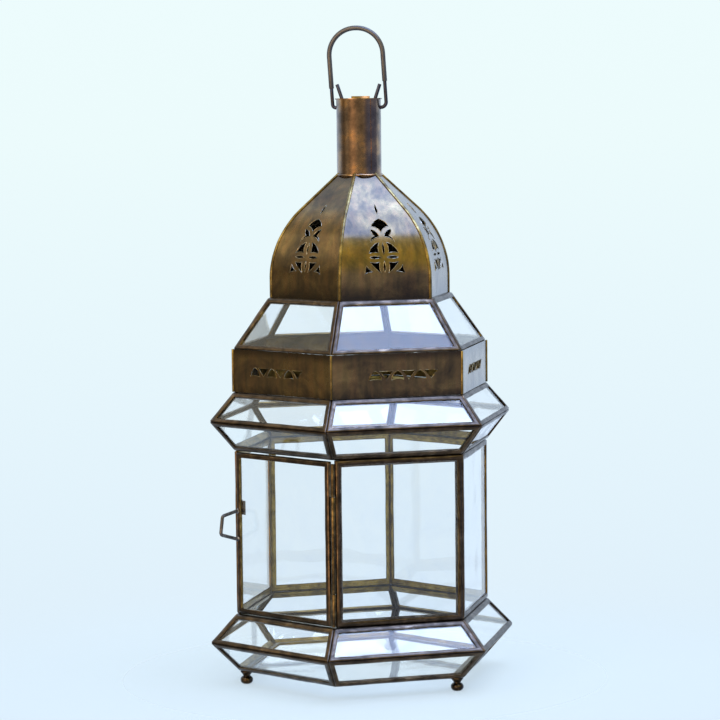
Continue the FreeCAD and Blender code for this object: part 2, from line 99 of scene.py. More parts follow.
def done(piece):
    """Leaves edit mode."""
    bpy.ops.object.mode_set(mode="OBJECT")
    return piece


def apply(piece, kind, **settings):
    """Puts one modifier on a piece and applies it."""
    take(piece)
    modifier = piece.modifiers.new(kind.lower(), kind)
    for name, value in settings.items():
        setattr(modifier, name, value)
    bpy.ops.object.modifier_apply(modifier=modifier.name)


def edge_length(piece, edge):
    ends = [piece.data.vertices[index].co for index in edge.vertices]
    return (ends[0] - ends[1]).length


def around(piece, turns):
    """Repeats a piece at the given sixths of a turn, each copy with its own mesh, as one."""
    copies = []
    for turn in turns:
        copy = piece.copy()
        copy.data = piece.data.copy()
        copy.data.transform(Matrix.Rotation(turn * SIXTH, 4, "Z"))
        bpy.context.scene.collection.objects.link(copy)
        copies.append(copy)
    name = piece.name
    bpy.data.objects.remove(piece)
    return joined(name, copies)


def joined(name, pieces):
    """One piece from several."""
    put_down()
    for piece in pieces:
        piece.select_set(True)
    bpy.context.view_layer.objects.active = pieces[0]
    if len(pieces) > 1:
        bpy.ops.object.join()
    whole = bpy.context.view_layer.objects.active
    whole.name = name
    whole.data.name = name
    return whole


def worked_by_hand(piece, amount, spacing):
    """Small dents and bends, as hand work leaves them."""
    for corner in piece.data.vertices:
        corner.co += noise.noise_vector(corner.co / spacing) * amount


def lay_grain(piece):
    """Writes a UV map in metres that runs along each face's longest edge, so that
    drawing marks and wear follow the strip."""
    mesh = piece.data
    grain = mesh.uv_layers.new(name="grain") if not mesh.uv_layers else mesh.uv_layers[0]
    for face in mesh.polygons:
        loops = list(face.loop_indices)
        corners = [mesh.vertices[mesh.loops[loop].vertex_index].co for loop in loops]
        edges = [corners[i] - corners[i - 1] for i in range(len(corners))]
        along = max(edges, key=lambda edge: edge.length).normalized()
        if along.z < -0.2 or (abs(along.z) <= 0.2 and along.x < 0):
            along = -along
        across = face.normal.cross(along)
        sector = math.floor(math.atan2(face.center.x, -face.center.y) / SIXTH + 0.5)
        shift = 0.37 * sector
        for loop, corner in zip(loops, corners):
            grain.data[loop].uv = (corner.dot(along) + shift, corner.dot(across) + shift)


def cad_copy(name, nodes):
    """A piece from CAD nodes, with their loose triangles merged."""
    copies = []
    for node in nodes:
        copy = bpy.data.objects.new(name, cad[node].data.copy())
        bpy.context.scene.collection.objects.link(copy)
        copies.append(copy)
    piece = joined(name, copies)
    piece.data.materials.clear()
    take(piece)
    bpy.ops.mesh.customdata_custom_splitnormals_clear()
    bpy.ops.object.mode_set(mode="EDIT")
    bpy.ops.mesh.select_all(action="SELECT")
    bpy.ops.mesh.remove_doubles(threshold=0.00001)
    bpy.ops.mesh.dissolve_degenerate(threshold=0.000002)
    return done(piece)


def softened(name, nodes, width, segments=2, angle=35):
    """A CAD copy with its flat faces made whole and its edges rounded."""
    piece = cad_copy(name, nodes)
    bpy.ops.object.mode_set(mode="EDIT")
    bpy.ops.mesh.select_all(action="SELECT")
    bpy.ops.mesh.dissolve_limited(angle_limit=math.radians(0.5))
    done(piece)
    if width:
        round_edges(piece, width, segments, angle)
    return piece


def round_edges(piece, width, segments, angle):
    """Rounds every edge sharper than an angle."""
    apply(
        piece,
        "BEVEL",
        width=width,
        segments=segments,
        limit_method="ANGLE",
        angle_limit=math.radians(angle),
        use_clamp_overlap=True,
    )


def smooth(piece, angle=32):
    take(piece)
    bpy.ops.object.shade_smooth_by_angle(angle=math.radians(angle))
    return piece


# ------------------------------------------------------------------ finishes


def colour(code):
    """An sRGB hex colour as the linear values that a node takes."""
    channels = [int(code[i : i + 2], 16) / 255 for i in (1, 3, 5)]
    linear = [c / 12.92 if c <= 0.04045 else ((c + 0.055) / 1.055) ** 2.4 for c in channels]
    return (*linear, 1.0)


def add(tree, kind, settings=None, links=None):
    """Adds a node, fills in its settings and sockets, and links outputs into it."""
    node = tree.nodes.new(kind)
    for key, value in (settings or {}).items():
        if key == "stops":
            ramp = node.color_ramp.elements
            while len(ramp) < len(value):
                ramp.new(0.5)
            for element, (place, code) in zip(ramp, value):
                element.position = place
            for element, (place, code) in zip(ramp, value):
                element.color = colour(code)
        elif isinstance(key, int) or key in node.inputs:
            node.inputs[key].default_value = value
        else:
            setattr(node, key, value)
    for key, output in (links or {}).items():
        tree.links.new(output, node.inputs[key])
    return node


def new_finish(name):
    """An empty material and its tree."""
    material = bpy.data.materials.new(name)
    material.use_nodes = True
    material.node_tree.nodes.clear()
    return material, material.node_tree


def surface(tree, shader):
    add(tree, "ShaderNodeOutputMaterial", links={"Surface": shader})


def antiqued_brass_sheet():
    """Rolled brass sheet, darkened in a sulphur bath, rubbed back upwards and lacquered.
    It gives dark olive and grey-brown clouds with faint reddish and greenish streaks, painted
    shade along the joints, and a clear gloss over it all."""
    material, tree = new_finish("antiqued_brass_sheet")
    place = add(tree, "ShaderNodeTexCoord").outputs["Object"]
    # Rubbing marks about 5 mm apart and 60 mm long.
    drawn = add(tree, "ShaderNodeMapping", {"Scale": (200, 200, 16)}, {"Vector": place})
    rubbed = add(
        tree,
        "ShaderNodeTexNoise",
        {"Scale": 1.0, "Detail": 3.0, "Roughness": 0.5},
        {"Vector": drawn.outputs[0]},
    )
    # Clouds of patina, 25 mm, with a fine mottle in them.
    clouds = add(
        tree,
        "ShaderNodeTexNoise",
        {"Scale": 40.0, "Detail": 8.0, "Roughness": 0.66, "Distortion": 0.4},
        {"Vector": place},
    )
    blend = add(
        tree,
        "ShaderNodeMix",
        {0: 0.22},
        {2: clouds.outputs["Fac"], 3: rubbed.outputs["Fac"]},
    )
    patina = add(
        tree,
        "ShaderNodeValToRGB",
        {
            "stops": [
                (0.34, "#352d22"),
                (0.45, "#554934"),
                (0.55, "#706142"),
                (0.68, "#8f8059"),
            ]
        },
        {"Fac": blend.outputs[0]},
    )
    tint = add(
        tree,
        "ShaderNodeValToRGB",
        {"stops": [(0.40, "#8c8a5a"), (0.50, "#a89c80"), (0.60, "#a88468")]},
        {"Fac": rubbed.outputs["Fac"]},
    )
    tinted = add(
        tree,
        "ShaderNodeMix",
        {"data_type": "RGBA", "blend_type": "OVERLAY", 0: 0.35},
        {6: patina.outputs["Color"], 7: tint.outputs["Color"]},
    )
    # Painted shade: the sheet darkens along the horizontal joints, where it meets other parts.
    height = add(tree, "ShaderNodeSeparateXYZ", links={0: place})
    uneven = add(
        tree,
        "ShaderNodeMath",
        {"operation": "MULTIPLY_ADD", 1: JOINT_REACH},
        {0: clouds.outputs["Fac"], 2: height.outputs["Z"]},
    )
    joint_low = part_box("pierced_panel_0")[0].z
    joint_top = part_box("neck_tube")[1].z
    levels = add(
        tree,
        "ShaderNodeMapRange",
        {"From Min": joint_low, "From Max": joint_top + JOINT_REACH},
        {"Value": uneven.outputs[0]},
    )

    def share(level):
        return (level + JOINT_REACH / 2 - joint_low) / (joint_top + JOINT_REACH - joint_low)

    low_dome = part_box("dome_gore_0")[0].z
    band_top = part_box("pierced_panel_0")[1].z
    neck_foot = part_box("dome_gore_0")[1].z
    # Painted shade at the band's foot and top, at the dome's foot and under the neck.
    joint_shade = add(
        tree,
        "ShaderNodeValToRGB",
        {
            "stops": [
                (share(joint_low - 0.001), "#6a635c"),
                (share(joint_low + 0.006), "#ffffff"),
                (share(band_top - 0.006), "#ffffff"),
                (share(band_top - 0.001), "#8a8178"),
                (share(low_dome + 0.001), "#5e5a58"),
                (share(low_dome + 0.014), "#ffffff"),
                (share(neck_foot - 0.008), "#ffffff"),
                (share(neck_foot), "#6f6760"),
            ]
        },
        {"Fac": levels.outputs[0]},
    )
    # Multiplies the painted shade into the patina.
    joint_shaded = add(
        tree,
        "ShaderNodeMix",
        {"data_type": "RGBA", "blend_type": "MULTIPLY", 0: 1.0},
        {6: tinted.outputs[2], 7: joint_shade.outputs["Color"]},
    )
    gloss = add(
        tree,
        "ShaderNodeMapRange",
        {"From Min": 0.3, "From Max": 0.7, "To Min": 0.36, "To Max": 0.22},
        {"Value": blend.outputs[0]},
    )
    # Shallow dents of 15 mm from beating the sheet to its curve.
    dents = add(tree, "ShaderNodeTexNoise", {"Scale": 50.0, "Detail": 2.0}, {"Vector": place})
    dented = add(
        tree,
        "ShaderNodeBump",
        {"Strength": 0.3, "Distance": 0.0006},
        {"Height": dents.outputs["Fac"]},
    )
    metal = add(
        tree,
        "ShaderNodeBsdfPrincipled",
        {"Metallic": 1.0, "Coat Weight": 0.8, "Coat Roughness": 0.13},
        {
            "Base Color": joint_shaded.outputs[2],
            "Roughness": gloss.outputs[0],
            "Normal": dented.outputs[0],
            "Coat Normal": dented.outputs[0],
        },
    )
    surface(tree, metal.outputs[0])
    return material


def brass_came(name, stops, coat):
    """Thin brass strip folded round the glass, browned and worn on its ridge.  It gives
    dark brown lines broken by reddish and golden streaks that run along the strip."""
    material, tree = new_finish(name)
    place = add(tree, "ShaderNodeTexCoord")
    # Drawing marks 0.8 mm across and 14 mm long.
    drawn = add(
        tree, "ShaderNodeMapping", {"Scale": (70, 1200, 1)}, {"Vector": place.outputs["UV"]}
    )
    marks = add(
        tree,
        "ShaderNodeTexNoise",
        {"Scale": 1.0, "Detail": 4.0, "Roughness": 0.65},
        {"Vector": drawn.outputs[0]},
    )
    # Patches of tarnish, 9 mm.
    patches = add(
        tree,
        "ShaderNodeTexNoise",
        {"Scale": 110.0, "Detail": 4.0, "Roughness": 0.6},
        {"Vector": place.outputs["Object"]},
    )
    blend = add(
        tree,
        "ShaderNodeMix",
        {0: 0.5},
        {2: patches.outputs["Fac"], 3: marks.outputs["Fac"]},
    )
    tone = add(tree, "ShaderNodeValToRGB", {"stops": stops}, {"Fac": blend.outputs[0]})
    gloss = add(
        tree,
        "ShaderNodeMapRange",
        {"From Min": 0.35, "From Max": 0.65, "To Min": 0.44, "To Max": 0.24},
        {"Value": blend.outputs[0]},
    )
    lumps = add(
        tree,
        "ShaderNodeTexNoise",
        {"Scale": 260.0, "Detail": 2.0},
        {"Vector": place.outputs["Object"]},
    )
    lumpy = add(
        tree,
        "ShaderNodeBump",
        {"Strength": 0.4, "Distance": 0.0004},
        {"Height": lumps.outputs["Fac"]},
    )
    scored = add(
        tree,
        "ShaderNodeBump",
        {"Strength": 0.35, "Distance": 0.00012},
        {"Height": marks.outputs["Fac"], "Normal": lumpy.outputs[0]},
    )
    metal = add(
        tree,
        "ShaderNodeBsdfPrincipled",
        {"Metallic": 1.0, "Coat Weight": coat, "Coat Roughness": 0.25},
        {
            "Base Color": tone.outputs["Color"],
            "Roughness": gloss.outputs[0],
            "Normal": scored.outputs[0],
        },
    )
    surface(tree, metal.outputs[0])
    return material


def cast_metal(name, spacing, stops, rough, lump, coat=0.0, metallic=1.0):
    """Metal whose tarnish lies in patches of the given spacing, with a lumpy skin."""
    material, tree = new_finish(name)
    place = add(tree, "ShaderNodeTexCoord").outputs["Object"]
    patches = add(
        tree,
        "ShaderNodeTexNoise",
        {"Scale": 1 / spacing, "Detail": 5.0, "Roughness": 0.6},
        {"Vector": place},
    )
    tone = add(tree, "ShaderNodeValToRGB", {"stops": stops}, {"Fac": patches.outputs["Fac"]})
    gloss = add(
        tree,
        "ShaderNodeMapRange",
        {"From Min": 0.35, "From Max": 0.65, "To Min": rough + 0.1, "To Max": rough - 0.06},
        {"Value": patches.outputs["Fac"]},
    )
    skin = add(
        tree,
        "ShaderNodeTexNoise",
        {"Scale": 3 / spacing, "Detail": 3.0},
        {"Vector": place},
    )
    bump = add(
        tree,
        "ShaderNodeBump",
        {"Strength": 0.5, "Distance": lump},
        {"Height": skin.outputs["Fac"]},
    )
    metal = add(
        tree,
        "ShaderNodeBsdfPrincipled",
        {"Metallic": metallic, "Coat Weight": coat, "Coat Roughness": 0.2},
        {
            "Base Color": tone.outputs["Color"],
            "Roughness": gloss.outputs[0],
            "Normal": bump.outputs[0],
        },
    )
    surface(tree, metal.outputs[0])
    return material


def window_glass():
    """2 mm sheet glass, hand cut.  It gives clear panes with slightly wavy reflections and
    a film of dust.  Lamps pass through it instead of leaving hard shadows."""
    material, tree = new_finish("clear_sheet_glass")
    place = add(tree, "ShaderNodeTexCoord").outputs["Object"]
    waves = add(tree, "ShaderNodeTexNoise", {"Scale": 28.0, "Detail": 1.0}, {"Vector": place})
    wavy = add(
        tree,
        "ShaderNodeBump",
        {"Strength": 0.25, "Distance": 0.0006},
        {"Height": waves.outputs["Fac"]},
    )
    film = add(
        tree,
        "ShaderNodeTexNoise",
        {"Scale": 24.0, "Detail": 6.0, "Roughness": 0.7, "Distortion": 1.2},
        {"Vector": place},
    )
    clear = add(
        tree,
        "ShaderNodeValToRGB",
        {"stops": [(0.35, "#fdfeff"), (0.60, "#fafcff"), (0.75, "#f0f4fb")]},
        {"Fac": film.outputs["Fac"]},
    )
    glass = add(
        tree,
        "ShaderNodeBsdfPrincipled",
        {"Roughness": 0.0, "IOR": 1.5, "Transmission Weight": 1.0},
        {"Base Color": clear.outputs["Color"], "Normal": wavy.outputs[0]},
    )
    let_through = add(tree, "ShaderNodeBsdfTransparent", {"Color": colour("#f6f9fd")})
    rays = add(tree, "ShaderNodeLightPath")
    both = add(
        tree,
        "ShaderNodeMixShader",
        links={0: rays.outputs["Is Shadow Ray"], 1: glass.outputs[0], 2: let_through.outputs[0]},
    )
    surface(tree, both.outputs[0])
    return material


sheet_brass = antiqued_brass_sheet()
# Outer faces of the cames.
came_brown = brass_came(
    "browned_brass_came",
    [(0.36, "#282420"), (0.47, "#40382f"), (0.57, "#5c5044"), (0.70, "#8f8069")],
    0.12,
)
# Inner faces, less handled and brighter, seen through the glass.
came_gold = brass_came(
    "bright_brass_came",
    [(0.36, "#2f2613"), (0.46, "#6b5626"), (0.56, "#917838"), (0.68, "#c4ac68")],
    0.2,
)
# Seams between folded strips.  They read as nearly black lines: painted shade in a groove.
groove_shade = cast_metal(
    "came_groove_painted_shade",
    0.005,
    [(0.35, "#17130d"), (0.50, "#2b2418"), (0.66, "#4a3d25")],
    0.5,
    0.00008,
)
# Bare brass where a saw has cut the dome, its paleness partly a painted highlight on the raised
# edge.  A thin pale line round each hole.
pale_burr_highlight = cast_metal(
    "sawn_brass_burr_and_highlight",
    0.003,
    [(0.35, "#4f4a3c"), (0.50, "#7d7764"), (0.65, "#a8a290")],
    0.38,
    0.00005,
    0.3,
)
# The same cut edge on the band, handled more, so browner.
brown_burr = cast_metal(
    "browned_brass_burr",
    0.004,
    [(0.35, "#3a2f1c"), (0.50, "#6a5a38"), (0.65, "#9c8c62")],
    0.4,
    0.00005,
    0.2,
)
# Raw brass painted nearly black as shade inside the dome.  The dome looks dark and dull through
# its holes.
dome_inside_shade = cast_metal(
    "dark_brass_painted_shade",
    0.012,
    [(0.35, "#0d0b09"), (0.50, "#1a1611"), (0.66, "#2e251a")],
    0.62,
    0.0001,
)
# Raw brass gone dull, seen through the panes as a soft brown gold.
band_inside = cast_metal(
    "dull_brass",
    0.014,
    [(0.35, "#2c210e"), (0.50, "#4d3c1d"), (0.66, "#735c30")],
    0.5,
    0.0001,
)
# Rolled brass tube, browned in patches and lacquered.  Brown with broad coppery streaks.
neck_finish = cast_metal(
    "browned_brass_neck",
    0.018,
    [(0.34, "#463c33"), (0.50, "#7c6a59"), (0.66, "#bb9566")],
    0.26,
    0.00006,
    0.5,
)
# Tinned seams rubbed down to the colour of old brass.  Thin golden ribs.
solder = cast_metal(
    "rubbed_solder_run",
    0.010,
    [(0.35, "#4a3f26"), (0.50, "#76673c"), (0.66, "#a59562")],
    0.36,
    0.00006,
    0.2,
)
# Fresh solder.  Small silvery drops.
solder_blob = cast_metal(
    "bright_solder",
    0.002,
    [(0.35, "#4f5058"), (0.50, "#85868f"), (0.66, "#c4c6cf")],
    0.3,
    0.0001,
    0.2,
)
# Rolled brass strip, dulled by handling.  A quiet brown line with few glints.
hinge_finish = cast_metal(
    "rolled_hinge_brass",
    0.006,
    [(0.34, "#2e2618"), (0.50, "#4c4029"), (0.66, "#766542")],
    0.44,
    0.0001,
    0.3,
)
# Turned brass, nearly black with tarnish.  One small highlight each.
foot_finish = cast_metal(
    "turned_dark_brass",
    0.004,
    [(0.34, "#120e0b"), (0.50, "#281f17"), (0.68, "#54452f")],
    0.36,
    0.00008,
    0.4,
)
# Tinned wire, gone grey.  A soft, faintly warm grey line.
handle_finish = cast_metal(
    "tinned_wire",
    0.006,
    [(0.30, "#3a3738"), (0.50, "#4c4849"), (0.70, "#6a6566")],
    0.42,
    0.00005,
    0.3,
    0.5,
)
# Drawn tube under old lacquer.  Grey with a brown cast.
sleeve_finish = cast_metal(
    "browned_tube",
    0.02,
    [(0.30, "#36363e"), (0.50, "#454447"), (0.70, "#56524f")],
    0.46,
    0.00003,
    0.4,
    0.4,
)
# Heat-blued iron wire.  Nearly black, bluish where it mirrors the sky.
iron_finish = cast_metal(
    "blued_iron_wire",
    0.008,
    [(0.34, "#0b1126"), (0.52, "#141d3a"), (0.68, "#283252")],
    0.45,
    0.00004,
    0.3,
    0.4,
)
clear_glass = window_glass()


def finish(piece, *materials):
    piece.data.materials.clear()
    for material in materials:
        piece.data.materials.append(material)


# ------------------------------------------------------------------ brass cames


def ring_of(node, top):
    """Corner radius and height of the hexagonal ring at a CAD node's top or bottom."""
    low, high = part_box(node)
    level = high.z if top else low.z
    radii = [
        math.hypot(corner.co.x, corner.co.y)
        for corner in cad[node].data.vertices
        if abs(corner.co.z - level) < 0.05 * MM
    ]
    return max(radii), level


def came_frame(name, front, back, back_face):
    """One mitred came frame, cut open for its glass.  Its outer ridges are rounded nearly
    to a half-round, so that two neighbours leave a groove between them.  front and back
    each give (left, right, y, z) for the bottom and for the top, and back_face is the
    strip's width behind the glass."""
    put_down()
    bpy.ops.mesh.primitive_cube_add(size=1)
    piece = bpy.context.object
    piece.name = name
    for corner in piece.data.vertices:
        rows = front if corner.co.y < 0 else back
        left, right, y, z = rows[1 if corner.co.z > 0 else 0]
        corner.co = (left if corner.co.x < 0 else right, y, z)
    bottom, top = front
    out = Vector((0, bottom[3] - top[3], top[2] - bottom[2])).normalized()
    front_level = Vector((0, bottom[2], bottom[3])).dot(out)

    def facing(direction):
        return lambda face: face.normal.dot(direction) > 0.999

    def rim(level):
        def test(edge):
            ends = [piece.data.vertices[index].co.dot(out) for index in edge.vertices]
            return max(abs(end - level) for end in ends) < 0.01 * MM

        return test

    pick(piece, "EDGE", rim(front_level))
    bpy.ops.mesh.bevel(offset=OUTER_ROUND, segments=4, affect="EDGES")
    done(piece)
    pick(piece, "EDGE", rim(front_level - CAME_DEPTH))
    bpy.ops.mesh.bevel(offset=INNER_ROUND, segments=2, affect="EDGES")
    done(piece)
    pick(piece, "FACE", facing(out))
    bpy.ops.mesh.inset(thickness=CAME_FACE - OUTER_ROUND, depth=0)
    to_glass = -out * (CAME_DEPTH - BACK_LIP)
    bpy.ops.mesh.extrude_region_move(TRANSFORM_OT_translate={"value": to_glass})
    if back_face > CAME_FACE:
        bpy.ops.mesh.inset(thickness=back_face - CAME_FACE, depth=0)
    bpy.ops.mesh.extrude_region_move(TRANSFORM_OT_translate={"value": -out * BACK_LIP})
    bpy.ops.mesh.delete(type="FACE")
    done(piece)
    pick(piece, "FACE", facing(-out))
    bpy.ops.mesh.delete(type="FACE")
    bpy.ops.mesh.select_mode(type="EDGE")
    bpy.ops.mesh.select_all(action="DESELECT")
    bpy.ops.mesh.select_non_manifold()
    bpy.ops.mesh.bridge_edge_loops()
    bpy.ops.mesh.select_all(action="SELECT")
    bpy.ops.mesh.normals_make_consistent(inside=False)
    done(piece)
    round_edges(piece, LIP_ROUND, 2, 60)
    pick(piece, "EDGE", lambda edge: edge_length(piece, edge) > LONG_EDGE)
    bpy.ops.mesh.subdivide(number_cuts=9)
    return done(piece)


def sloped_frame(name, lower, upper):
    """The came frame of one sloped panel between two rings."""
    run = (upper[0] - lower[0]) * math.cos(SIXTH / 2)
    rise = upper[1] - lower[1]
    inwards = CAME_DEPTH * math.hypot(run, rise) / rise / math.cos(SIXTH / 2)
    rows = []
    for deep in (0, inwards):
        rows.append(
            [
                (
                    -(radius - deep) / 2,
                    (radius - deep) / 2,
                    -(radius - deep) * math.cos(SIXTH / 2),
                    level,
                )
                for radius, level in (lower, upper)
            ]
        )
    return came_frame(name, *rows, CAME_FACE)


def upright_frame(name, box, mitre_left, mitre_right, back_face):
    """The came frame of one upright panel, from its box on the door's side."""
    low, high = box
    rows = []
    for deep in (0, CAME_DEPTH):
        step = deep * math.tan(SIXTH / 2)
        left = low.x + (step if mitre_left else 0)
        right = high.x - (step if mitre_right else 0)
        rows.append([(left, right, low.y + deep, level) for level in (low.z, high.z)])
    return came_frame(name, *rows, back_face)


def colour_came(piece):
    """Brown outside, brighter brass where the strip faces the inside of the lantern, and
    painted shade, nearly black, in the grooves between two strips there."""
    finish(piece, came_brown, came_gold, groove_shade)
    for face in piece.data.polygons:
        outwards = Vector((face.center.x, face.center.y, 0)).normalized()
        if face.normal.dot(outwards) < -0.25:
            # Narrow inward faces get the painted shade of the groove.
            narrow = face.area < NARROW_FACE
            face.material_index = 2 if narrow else 1


for band in ("roof", "upper_shoulder", "lower_shoulder", "upper_base", "lower_base"):
    node = band + "_cames"
    piece = sloped_frame(band + "_came_frames", ring_of(node, False), ring_of(node, True))
    piece = around(piece, range(6))
    worked_by_hand(piece, 0.22 * MM, 14 * MM)
    lay_grain(piece)
    colour_came(piece)
    smooth(piece, 40)
    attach(piece, "shell")
    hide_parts(node)


def box_at_door(node, face):
    """A node's box, as if it were turned round to the door's side."""
    turn = Matrix.Rotation(-face * SIXTH, 4, "Z")
    corners = [turn @ corner.co for corner in cad[node].data.vertices]
    low = Vector([min(corner[axis] for corner in corners) for axis in range(3)])
    high = Vector([max(corner[axis] for corner in corners) for axis in range(3)])
    return low, high


sides = []
for face in range(1, 6):
    node = "side_came_" + str(face)
    piece = upright_frame(node, box_at_door(node, face), face > 1, True, CAME_BACK)
    sides.append(around(piece, [face]))
piece = joined("side_came_frames", sides)
worked_by_hand(piece, 0.25 * MM, 20 * MM)
lay_grain(piece)
colour_came(piece)
smooth(piece, 40)
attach(piece, "shell")
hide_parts(*["side_came_" + str(face) for face in range(1, 6)])

piece = upright_frame("door_came_frame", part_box("door_came"), True, False, CAME_FACE)
worked_by_hand(piece, 0.2 * MM, 20 * MM)
lay_grain(piece)
colour_came(piece)
smooth(piece, 40)
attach(piece, "door")
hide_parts("door_came")

piece = softened("floor_came_frames", ["floor_cames"], 0.6 * MM)
lay_grain(piece)
colour_came(piece)
smooth(piece, 40)
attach(piece, "shell")
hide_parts("floor_cames")

# ------------------------------------------------------------------ sheet metal


def skin_normal(corner, lift):
    """Outward direction of the dome's skin on the door's side: upright, then turning
    along an arc, then a straight slope."""
    rise = (corner.z - lift) / (DOME_ARC * MM)
    turn = min(math.asin(min(max(rise, 0), 1)), DOME_TURN)
    return Vector((0, -math.cos(turn), math.sin(turn)))


def pierced_sheet(piece, face, rim, rim_finish):
    """Turns a pierced sheet to the door's side and makes the fine burr that sawing
    leaves round each hole."""
    piece.data.transform(Matrix.Rotation(-face * SIXTH, 4, "Z"))
    mesh = piece.data
    low = min(corner.co.z for corner in mesh.vertices) + 0.2 * MM
    high = max(corner.co.z for corner in mesh.vertices) - 0.2 * MM
    sides = {}
    for plate in mesh.polygons:
        skin = plate.normal.y < -0.6
        upright = plate.normal.length > 0.5 and abs(plate.normal.y) < 0.05
        wall = upright and low < plate.center.z < high
        for key in plate.edge_keys:
            sides.setdefault(key, []).append((skin, wall))

    def at_hole(edge):
        pair = sides[edge.key]
        return any(skin for skin, wall in pair) and any(wall for skin, wall in pair)

    pick(piece, "EDGE", at_hole)
    bpy.ops.mesh.duplicate()
    bpy.ops.mesh.separate(type="SELECTED")
    done(piece)
    burr = [other for other in bpy.context.selected_objects if other is not piece][0]
    take(burr)
    bpy.ops.object.convert(target="CURVE")
    burr.data.bevel_depth = rim
    burr.data.bevel_resolution = 1
    bpy.ops.object.convert(target="MESH")
    worked_by_hand(burr, 0.07 * MM, 1.5 * MM)
    finish(burr, rim_finish)
    return smooth(burr, 60)


def smooth_skin(piece, lift):
    """Even shading over the dome's curve, whatever the triangles."""
    smooth(piece, 30)
    mesh = piece.data
    normals = [Vector()] * len(mesh.loops)
    for plate in mesh.polygons:
        if abs(plate.normal.y) < 0.6 or abs(plate.normal.x) > 0.1:
            continue
        sign = 1 if plate.normal.y < 0 else -1
        for loop in plate.loop_indices:
            corner = mesh.vertices[mesh.loops[loop].vertex_index].co
            normals[loop] = skin_normal(corner, lift) * sign
    mesh.normals_split_custom_set(normals)


def two_sided(piece, inside):
    """Antiqued brass outside and another finish inside."""
    finish(piece, sheet_brass, inside)
    for face in piece.data.polygons:
        if face.normal.y > 0.4:
            face.material_index = 1


def ready(piece, body, slot, *nodes):
    """Hands a finished piece over in place of its CAD nodes."""
    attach(piece, body)
    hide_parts(*nodes)


dome_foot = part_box("dome_gore_0")[0].z
sheet = cad_copy("dome_gore_sheets", ["dome_gore_0"])
# The burr's pale finish is partly bare brass and partly a painted highlight.
burr = pierced_sheet(sheet, 0, 0.26 * MM, pale_burr_highlight)
smooth_skin(sheet, dome_foot + DOME_SKIRT * MM)
# The inside of the dome takes the painted shade.
two_sided(sheet, dome_inside_shade)
gores = around(joined("dome_gore_sheets", [sheet, burr]), range(6))
ready(gores, "shell", "aged_brass_sheet", *["dome_gore_" + str(face) for face in range(6)])

panels = []
for face in range(6):
    node = "pierced_panel_" + str(face)
    sheet = softened(node + "_sheet", [node], 0)
    burr = pierced_sheet(sheet, face, 0.22 * MM, brown_burr)
    smooth(sheet, 30)
    two_sided(sheet, band_inside)
    panels.append(around(joined(node + "_sheet", [sheet, burr]), [face]))
piece = joined("pierced_panel_sheets", panels)
nodes = ["pierced_panel_" + str(face) for face in range(6)]
ready(piece, "shell", "aged_brass_sheet", *nodes)

piece = softened("neck_sheet", ["neck_tube"], 0.2 * MM, 2, 50)
finish(piece, neck_finish)
smooth(piece, 30)
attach(piece, "shell")
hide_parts("neck_tube")

put_down()
neck_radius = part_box("neck_tube")[1].x - RIM_LIP
bpy.ops.mesh.primitive_torus_add(
    major_segments=96,
    minor_segments=12,
    major_radius=neck_radius + 0.1 * MM,
    minor_radius=1.0 * MM,
)
piece = bpy.context.object
piece.name = "neck_solder_collar"
piece.data.transform(Matrix.Translation((0, 0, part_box("dome_gore_0")[1].z - 0.9 * MM)))
worked_by_hand(piece, 0.25 * MM, 5 * MM)
finish(piece, neck_finish)
smooth(piece, 60)
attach(piece, "shell")

nodes = ["dome_seam_" + str(face) for face in range(6)]
piece = softened("dome_solder_runs", nodes, SOLDER_ROUND)
worked_by_hand(piece, 0.12 * MM, 6 * MM)
finish(piece, solder)
smooth(piece, 60)
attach(piece, "shell")
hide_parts(*nodes)

piece = softened("band_solder_runs", ["pierced_band_seams"], SOLDER_ROUND)
worked_by_hand(piece, 0.12 * MM, 6 * MM)
finish(piece, solder)
smooth(piece, 60)
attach(piece, "shell")
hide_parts("pierced_band_seams")

# ------------------------------------------------------------------ small parts

for node, body, material, slot in (
    ("bail_wire", "bail", iron_finish, "iron_wire"),
    ("bail_sleeve", "bail", sleeve_finish, "brass_tube"),
    ("door_handle", "door", handle_finish, "brass_wire"),
    ("door_knuckle_top", "door", hinge_finish, "hinge_brass"),
    ("door_knuckle_bottom", "door", hinge_finish, "hinge_brass"),
    ("fixed_knuckle", "shell", hinge_finish, "hinge_brass"),
    ("hinge_pin", "shell", hinge_finish, "hinge_brass"),
    ("door_stop", "shell", came_brown, "came_brass"),
    ("ball_foot_0", "shell", foot_finish, "turned_brass"),
    ("ball_foot_1", "shell", foot_finish, "turned_brass"),
    ("ball_foot_2", "shell", foot_finish, "turned_brass"),
):
    piece = softened(node + "_finished", [node], 0.15 * MM, 2, 40)
    finish(piece, material)
    smooth(piece, 40)
    if node == "door_stop":
        lay_grain(piece)
    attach(piece, body)
    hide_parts(node)


def blob(name, place, size, material):
    """A drop of solder: a flattened ball, a little uneven."""
    put_down()
    bpy.ops.mesh.primitive_uv_sphere_add(segments=20, ring_count=12, radius=1)
    drop = bpy.context.object
    drop.name = name
    for corner in drop.data.vertices:
        corner.co = Vector(place) + Vector([corner.co[i] * size[i] for i in range(3)])
    worked_by_hand(drop, 0.3 * MM, 2 * MM)
    finish(drop, material)
    return smooth(drop, 60)


low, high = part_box("door_handle")
middle = (low.x + high.x) / 2
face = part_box("door_came")[0].y
feet = [low.z + 1.6 * MM, high.z - 1.6 * MM]
drops = [
    blob("drop", (middle, face, level), (1.6 * MM, 0.9 * MM, 2.0 * MM), solder_blob)
    for level in feet
]
piece = joined("handle_solder_drops", drops)
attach(piece, "door")

for node in cad:
    if node.endswith("_panes") or "_pane_" in node or node.endswith("_pane"):
        finish(cad[node], clear_glass)

# ------------------------------------------------------------------ floor, light, camera


